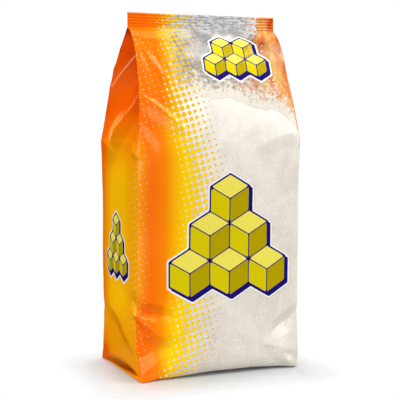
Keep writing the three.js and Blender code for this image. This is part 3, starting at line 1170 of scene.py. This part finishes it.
def clear_layer(tree, place, mottle, sealed, dusty, dust):
    """The clear film: see-through with grey blotches of painted shade, finer on the seal, haze, dust and
    painted warm light in the dots' gaps.
    """
    fine = noise(tree, place, *FINE_NOISE, stretch=FINE_STRETCH)
    blotch = scaled(tree, math_node(tree, "SUBTRACT", fine, mottle), sealed, mottle)
    hazy = stored(tree, "haze")
    # Painted shade: grey blotches and the ribs darken what is seen through the clear film.
    slack = times(tree, hazy, step_below(tree, blotch, BLOTCH_LIMIT, BLOTCH_SOFTNESS))
    ribbed = times(tree, stored(tree, "rib"), hazy)
    seen_shade = scaled(tree, ribbed, RIB_SEEN_SHADE, slack)
    seen = mix_colour(tree, seen_shade, (1, 1, 1), BLOTCH_SHADE_COLOUR)
    through = add_node(tree, "ShaderNodeBsdfTransparent", Color=seen)
    haze = add_node(tree, "ShaderNodeBsdfDiffuse", Color=HAZE_COLOUR)
    clear = mix_shader(tree, times(tree, hazy, HAZE_SHARE), through.outputs[0], haze.outputs[0])
    clear = mix_shader(tree, dusty, clear, dust)
    # Painted light: a warm diffuse colour in the gaps between large dots, in place of the sugar lit behind
    # them.
    warm = add_node(tree, "ShaderNodeBsdfDiffuse", Color=GAP_LIGHT_COLOUR)
    gaps = times(tree, stored(tree, "hole"), GAP_LIGHT_SHARE)
    return mix_shader(tree, gaps, clear, warm.outputs[0])


# The film's gloss: its crinkles, its colour over ink, its roughness and the change over ink, how much
# it mirrors head on, how much more at a glance, and the power of that rise.
CRINKLE_NOISE = (260, 3)
CRINKLE_STRENGTH = 0.12
CRINKLE_DEPTH = 0.0006
INK_SHEEN = (1, 0.8, 0.33)
GLOSS_ROUGHNESS = 0.22
INK_GLOSS_CHANGE = -0.06
MIRROR_LEAST = 0.03
MIRROR_MORE = 0.06
MIRROR_POWER = 5.0


def gloss_layer(tree, place, inked):
    """The film's gloss and how much of it shows: more at a glance, by a power of the facing share."""
    crinkle = noise(tree, place, *CRINKLE_NOISE)
    bump = add_node(
        tree, "ShaderNodeBump", Strength=CRINKLE_STRENGTH, Distance=CRINKLE_DEPTH, Height=crinkle,
    ).outputs[0]
    sheen = mix_colour(tree, inked, (1, 1, 1), INK_SHEEN)
    rough = scaled(tree, inked, INK_GLOSS_CHANGE, GLOSS_ROUGHNESS)
    gloss = add_node(tree, "ShaderNodeBsdfGlossy", Color=sheen, Roughness=rough, Normal=bump)
    facing = add_node(tree, "ShaderNodeLayerWeight", Normal=bump).outputs["Facing"]
    glance = math_node(tree, "POWER", facing, MIRROR_POWER)
    return gloss.outputs[0], scaled(tree, glance, MIRROR_MORE, MIRROR_LEAST)


def film_material(scale, start):
    """Glossy clear film with ink on its inner face: dots, the orange field, and the piles of lumps."""
    material, tree, output = new_material("printed_film")
    colour, inked, halo = film_print(tree, scale, start)
    place = object_place(tree)
    mottle = noise(tree, place, *MOTTLE_NOISE, stretch=MOTTLE_STRETCH)
    sealed = stored(tree, "sealed")
    inside = tree.nodes.new("ShaderNodeNewGeometry").outputs["Backfacing"]
    dusty = dust_cover(tree, place)
    dust = add_node(tree, "ShaderNodeBsdfDiffuse", Color=DUST_COLOUR).outputs[0]
    printed = ink_layer(tree, colour, halo, mottle, inside, sealed)
    dust_inside = times(tree, dusty, times(tree, inside, DUST_ON_INK))
    printed = mix_shader(tree, dust_inside, printed, dust)
    clear = clear_layer(tree, place, mottle, sealed, dusty, dust)
    body = mix_shader(tree, inked, clear, printed)
    gloss, mirror = gloss_layer(tree, place, inked)
    tree.links.new(mix_shader(tree, mirror, body, gloss), output.inputs[0])
    return material


# Sugar: its tones, the painted light that makes it lighter with the height in metres, how much the noise of
# drifts and clumps and the single crystals add, the crystals' sizes per metre and relief, the painted glints,
# and the painted shade that darkens the stretch next to the table, in metres.
SUGAR_DARK = (0.69, 0.622, 0.54)
SUGAR_LIGHT = (0.925, 0.866, 0.768)
SUGAR_GLINT = (1, 0.99, 0.97)
SUGAR_FOOT_SHADE = (0.05, 0.045, 0.04)
PAINTED_LIGHT_UP = 3.0
TONE_START = -0.95
DRIFT_NOISE = (34, 3)
DRIFT_TONE = 1.3
CLUMP_NOISE = (120, 5)
CLUMP_TONE = 0.8
CRYSTAL_SCALE = 1500
CRYSTAL_TONE = 0.2
CRYSTAL_STRENGTH = 0.35
CRYSTAL_DEPTH = 0.0004
SUGAR_ROUGHNESS = 0.45
GLINT_SCALE = 1150
GLINT_SIZE = 0.4
GLINT_SOFTNESS = 0.15
GLINT_LIMIT = 0.92
GLINT_LIMIT_SOFTNESS = 0.04
# Painted shade next to the table: height, softness and share of the darkening.
FOOT_SHADE_HEIGHT = 0.012
FOOT_SHADE_SOFTNESS = 0.014
FOOT_SHADE_SHARE = 0.3


def sugar_tone(tree, place, height, crystals):
    """How light the sugar is: paler with the height by painted light, with drifts, clumps and single crystals
    added.
    """
    # Painted light: the sugar is lighter higher up.
    tone = scaled(tree, height, PAINTED_LIGHT_UP, TONE_START)
    tone = scaled(tree, noise(tree, place, *DRIFT_NOISE), DRIFT_TONE, tone)
    tone = scaled(tree, noise(tree, place, *CLUMP_NOISE), CLUMP_TONE, tone)
    single = add_node(tree, "ShaderNodeSeparateColor", Color=crystals.outputs["Color"]).outputs[0]
    return scaled(tree, single, CRYSTAL_TONE, tone)


def sugar_glints(tree, place):
    """1 in the middle of a few crystals, chosen by their random colour, that get a painted glint."""
    cells = add_node(tree, "ShaderNodeTexVoronoi", Vector=place, Scale=GLINT_SCALE)
    chosen = add_node(tree, "ShaderNodeSeparateColor", Color=cells.outputs["Color"]).outputs[1]
    middle = step_below(tree, cells.outputs["Distance"], GLINT_SIZE, GLINT_SOFTNESS)
    return times(tree, middle, step_above(tree, chosen, GLINT_LIMIT, GLINT_LIMIT_SOFTNESS))


def sugar_material():
    """Fine white sugar: crystals of about half a millimetre, each a little lighter or darker, with painted
    glints.
    """
    material, tree, output = new_material("sugar")
    place = object_place(tree)
    height = add_node(tree, "ShaderNodeSeparateXYZ", Vector=place).outputs[2]
    crystals = add_node(tree, "ShaderNodeTexVoronoi", Vector=place, Scale=CRYSTAL_SCALE)
    colour = mix_colour(tree, sugar_tone(tree, place, height, crystals), SUGAR_DARK, SUGAR_LIGHT)
    # Painted glints: a few crystals are made near white.
    colour = mix_colour(tree, sugar_glints(tree, place), colour, SUGAR_GLINT)
    # Painted shade: the sugar darkens next to the table.
    low = times(tree, step_below(tree, height, FOOT_SHADE_HEIGHT, FOOT_SHADE_SOFTNESS), FOOT_SHADE_SHARE)
    colour = mix_colour(tree, low, colour, SUGAR_FOOT_SHADE)
    rise = crystals.outputs["Distance"]
    bump = add_node(tree, "ShaderNodeBump", Strength=CRYSTAL_STRENGTH, Distance=CRYSTAL_DEPTH, Height=rise)
    body = add_node(tree, "ShaderNodeBsdfPrincipled", Base_Color=colour, Roughness=SUGAR_ROUGHNESS)
    connect(tree, body.inputs["Normal"], bump.outputs[0])
    tree.links.new(body.outputs[0], output.inputs[0])
    return material


# The table top: a disc just under the bag that fades out round a shifted copy of the base.
FLOOR_COLOUR = (0.54, 0.56, 0.567, 1)
FLOOR_ROUGHNESS = 0.4
FLOOR_RADIUS = 240
FLOOR_POINTS = 96
FLOOR_GAP = 0.3
FLOOR_SHIFT = (-6, -10)
FLOOR_FADE = 29


def floor_material():
    """A plain pale table top that fades out with the distance from a shifted copy of the bag's base."""
    material, tree, output = new_material("table_top")
    body = add_node(tree, "ShaderNodeBsdfPrincipled", Base_Color=FLOOR_COLOUR, Roughness=FLOOR_ROUGHNESS)
    gone = tree.nodes.new("ShaderNodeBsdfTransparent")
    value = object_place(tree)
    half = (BASE_WIDTH / 2 * MM, BASE_DEPTH / 2 * MM, 1)
    steps = (
        ("SUBTRACT", (FLOOR_SHIFT[0] * MM, FLOOR_SHIFT[1] * MM, 0)), ("ABSOLUTE", None),
        ("SUBTRACT", half), ("MAXIMUM", (0, 0, 0)), ("LENGTH", None),
    )
    for operation, other in steps:
        made = add_node(tree, "ShaderNodeVectorMath", Vector=value)
        made.operation = operation
        if other:
            made.inputs[1].default_value = other
        value = made.outputs["Value" if operation == "LENGTH" else "Vector"]
    shown = step_below(tree, value, FLOOR_FADE * MM / 2, FLOOR_FADE * MM / 2)
    tree.links.new(mix_shader(tree, shown, gone.outputs[0], body.outputs[0]), output.inputs[0])
    return material


def make_floor():
    """A round table top just under the bag's base: one face with points round a circle."""
    angles = np.linspace(0, 2 * math.pi, FLOOR_POINTS, endpoint=False)
    rim = np.stack([FLOOR_RADIUS * np.cos(angles), FLOOR_RADIUS * np.sin(angles), 0 * angles - FLOOR_GAP], -1)
    floor = new_mesh("table", rim, [np.arange(FLOOR_POINTS)[None, :]])
    floor.data.materials.append(floor_material())


# The photograph's camera: its frame and focal length in pixels, and in metres the span that it sees.
FRAME_PIXELS = 400
FOCAL_PIXELS = 1037.28
SENSOR_WIDTH = 36
CAMERA_AZIMUTH = math.radians(-22.89)
CAMERA_HEIGHT_ANGLE = math.radians(4.57)
CAMERA_DISTANCE = 642.8
LOOK_AT = (0.76, 0, 101.8)
CLIP = (0.01, 20)


def make_camera():
    """A camera at the photograph's angle and distance."""
    data = bpy.data.cameras.new("camera")
    data.sensor_width = SENSOR_WIDTH
    data.lens = SENSOR_WIDTH * FOCAL_PIXELS / FRAME_PIXELS
    data.clip_start, data.clip_end = CLIP
    camera = bpy.data.objects.new("camera", data)
    bpy.context.scene.collection.objects.link(camera)
    level = math.cos(CAMERA_HEIGHT_ANGLE)
    right, away = math.sin(CAMERA_AZIMUTH) * level, -math.cos(CAMERA_AZIMUTH) * level
    back = Vector((right, away, math.sin(CAMERA_HEIGHT_ANGLE)))
    camera.location = (Vector(LOOK_AT) + back * CAMERA_DISTANCE) * MM
    camera.rotation_euler = (-back).to_track_quat("-Z", "Y").to_euler()
    bpy.context.scene.camera = camera


# Square area lights that face the middle of the bag: name, place and size in metres, and power.
SOFTBOXES = (
    ("key_softbox", (0.76, -0.34, 1.11), 0.42, 5),
    ("top_softbox", (0, 0.5, 1.1), 1.1, 10),
    ("right_softbox", (0.95, -0.95, 0.45), 0.45, 4.2),
    ("front_softbox", (-0.2, -1.5, 0.25), 0.7, 6.5),
    ("left_softbox", (-0.9, -0.1, 1.0), 0.45, 4.4),
    ("rim_softbox", (0.03, 1.32, 0.33), 0.36, 2),
    ("tuck_softbox", (1.3, 0.35, 0.5), 0.5, 4.4),
    ("side_softbox", (-1.2, 0.5, 0.5), 1.2, 1.8),
)
LIT_MIDDLE = (0, 0, 0.1)
# The white surround's strength: seen by the camera, for other rays, and for soft light from level and
# from overhead.
SEEN_STRENGTH = 0.97
LEAST_STRENGTH = 0.03
SKY_LOW = 0.25
SKY_OVERHEAD = 1.45


def make_softbox(name, place, size, power):
    """A square area light at a place in metres, turned to face the middle of the bag."""
    data = bpy.data.lights.new(name, "AREA")
    data.shape = "SQUARE"
    data.size = size
    data.energy = power
    light = bpy.data.objects.new(name, data)
    light.location = place
    light.visible_camera = False
    light.rotation_euler = (Vector(LIT_MIDDLE) - Vector(place)).to_track_quat("-Z", "Y").to_euler()
    bpy.context.scene.collection.objects.link(light)


def make_surround():
    """A white surround that lights softly, more from overhead."""
    world = bpy.data.worlds.new("surround")
    world.use_nodes = True
    tree = world.node_tree
    background = tree.nodes["Background"]
    rays = tree.nodes.new("ShaderNodeLightPath").outputs
    direction = tree.nodes.new("ShaderNodeTexCoord").outputs["Generated"]
    height = add_node(tree, "ShaderNodeSeparateXYZ", Vector=direction).outputs[2]
    upward = math_node(tree, "MAXIMUM", height, 0.0)
    sky = scaled(tree, upward, SKY_OVERHEAD - SKY_LOW, SKY_LOW)
    soft = scaled(tree, rays["Is Diffuse Ray"], sky, LEAST_STRENGTH)
    strength = scaled(tree, rays["Is Camera Ray"], SEEN_STRENGTH, soft)
    connect(tree, background.inputs["Strength"], strength)
    background.inputs["Color"].default_value = (1, 1, 1, 1)
    bpy.context.scene.world = world
    bpy.context.scene.view_settings.view_transform = "Standard"


make_camera()
for softbox in SOFTBOXES:
    make_softbox(*softbox)
make_surround()
make_floor()

film, film_scale, film_start = make_film()
film.data.materials.append(film_material(film_scale, film_start))
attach(film, "root")
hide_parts("bag")

sugar_white = sugar_material()
for sugar in (make_sugar(), make_grains()):
    sugar.data.materials.append(sugar_white)
    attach(sugar, "root")
    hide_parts("bag")
